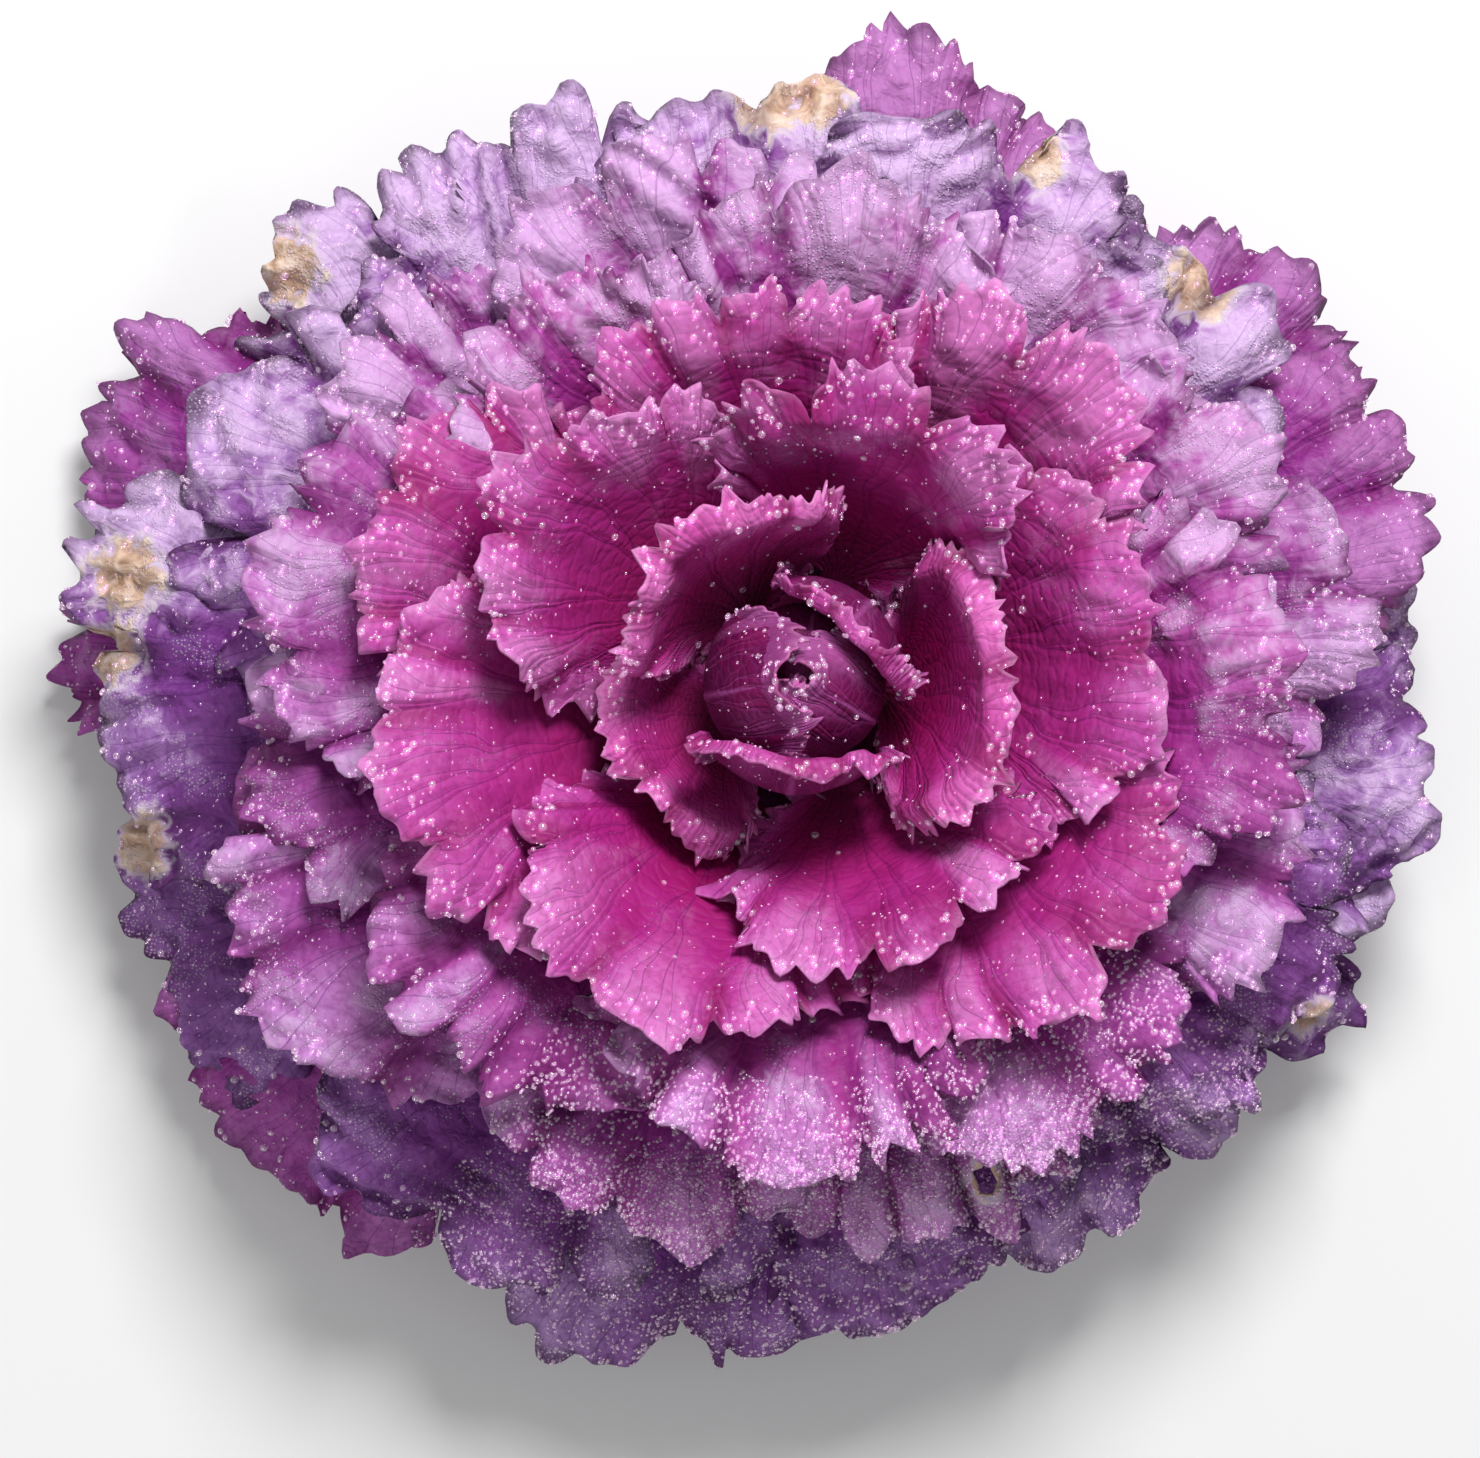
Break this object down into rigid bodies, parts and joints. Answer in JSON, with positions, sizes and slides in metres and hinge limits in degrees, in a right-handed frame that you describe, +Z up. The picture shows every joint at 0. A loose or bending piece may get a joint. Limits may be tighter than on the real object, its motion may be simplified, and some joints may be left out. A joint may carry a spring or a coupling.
{
  "type": "ornamental kale head",
  "caption": "Cut head of ornamental kale: a frilled magenta and violet rosette of toothed, waved leaves, closing over a heart and spreading to a drooping skirt, on a short stem.",
  "frame": {"origin": "centre of the flat cut at the stem's lower end, on the surface that the head stands on", "axes": "+Z up the stem towards the heart; +Y and +X lie across the rosette, and it reaches furthest towards -X"},
  "size_m": [0.3149, 0.2978, 0.1323],
  "materials": {
    "stem": "matte",
    "heart_leaf": "satin",
    "collar_leaf": "satin",
    "middle_leaf": "satin",
    "spreading_leaf": "satin",
    "skirt_leaf": "satin",
    "dew": "gloss"
  },
  "bodies": {
    "root": {"stem": "stem", "heart_leaf_01": "heart_leaf", "heart_leaf_02": "heart_leaf", "heart_leaf_03": "heart_leaf", "heart_leaf_04": "heart_leaf", "heart_leaf_05": "heart_leaf", "heart_leaf_06": "heart_leaf", "collar_leaf_01": "collar_leaf", "collar_leaf_02": "collar_leaf", "collar_leaf_03": "collar_leaf", "middle_leaf_01": "middle_leaf", "middle_leaf_02": "middle_leaf", "middle_leaf_03": "middle_leaf", "middle_leaf_04": "middle_leaf", "middle_leaf_05": "middle_leaf", "middle_leaf_06": "middle_leaf", "middle_leaf_07": "middle_leaf", "middle_leaf_08": "middle_leaf", "middle_leaf_09": "middle_leaf", "middle_leaf_10": "middle_leaf", "spreading_leaf_01": "spreading_leaf", "spreading_leaf_02": "spreading_leaf", "spreading_leaf_03": "spreading_leaf", "spreading_leaf_04": "spreading_leaf", "spreading_leaf_05": "spreading_leaf", "spreading_leaf_06": "spreading_leaf", "spreading_leaf_07": "spreading_leaf", "spreading_leaf_08": "spreading_leaf", "spreading_leaf_09": "spreading_leaf", "spreading_leaf_10": "spreading_leaf", "spreading_leaf_11": "spreading_leaf", "spreading_leaf_12": "spreading_leaf", "spreading_leaf_13": "spreading_leaf", "spreading_leaf_14": "spreading_leaf", "spreading_leaf_15": "spreading_leaf", "spreading_leaf_16": "spreading_leaf", "spreading_leaf_17": "spreading_leaf", "skirt_leaf_01": "skirt_leaf", "skirt_leaf_02": "skirt_leaf", "skirt_leaf_03": "skirt_leaf", "skirt_leaf_04": "skirt_leaf", "skirt_leaf_05": "skirt_leaf", "skirt_leaf_06": "skirt_leaf", "skirt_leaf_07": "skirt_leaf", "skirt_leaf_08": "skirt_leaf", "skirt_leaf_09": "skirt_leaf", "skirt_leaf_10": "skirt_leaf", "skirt_leaf_11": "skirt_leaf", "skirt_leaf_12": "skirt_leaf", "skirt_leaf_13": "skirt_leaf", "skirt_leaf_14": "skirt_leaf", "skirt_leaf_15": "skirt_leaf", "skirt_leaf_16": "skirt_leaf", "skirt_leaf_17": "skirt_leaf", "skirt_leaf_18": "skirt_leaf", "skirt_leaf_19": "skirt_leaf", "skirt_leaf_20": "skirt_leaf", "skirt_leaf_21": "skirt_leaf", "skirt_leaf_22": "skirt_leaf"}
  },
  "joints": []
}
